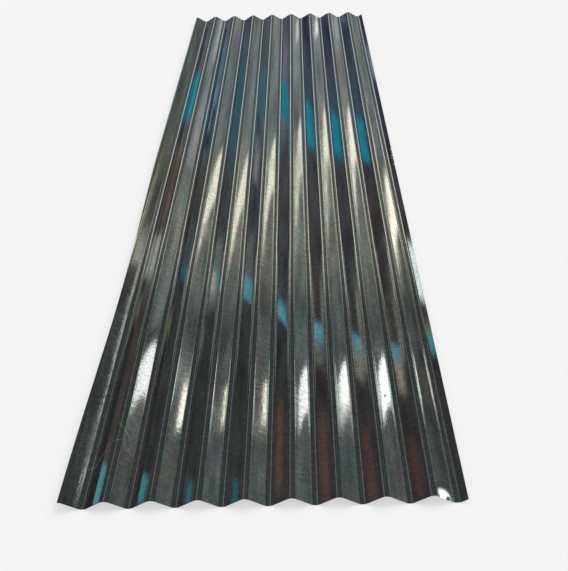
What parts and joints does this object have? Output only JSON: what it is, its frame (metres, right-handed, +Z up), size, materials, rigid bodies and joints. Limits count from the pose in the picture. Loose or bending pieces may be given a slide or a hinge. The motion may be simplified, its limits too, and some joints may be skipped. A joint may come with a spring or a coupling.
{
  "type": "corrugated metal sheet",
  "caption": "Galvanised steel sheet with regular arc-and-flank waves running its whole length, cut square at both ends, lying flat.",
  "frame": {"origin": "on the floor under the centre of the sheet's bounding box", "axes": "+Y along the waves towards the far end of the sheet, +X across the waves from the crest-cut edge to the flank-cut edge, +Z up"},
  "size_m": [0.665, 2.44, 0.0185],
  "materials": {
    "galvanised_steel": "bright hot-dip zinc coat with fine spangle and rolling lines"
  },
  "bodies": {
    "root": {"corrugated_sheet": "galvanised_steel"}
  },
  "joints": []
}
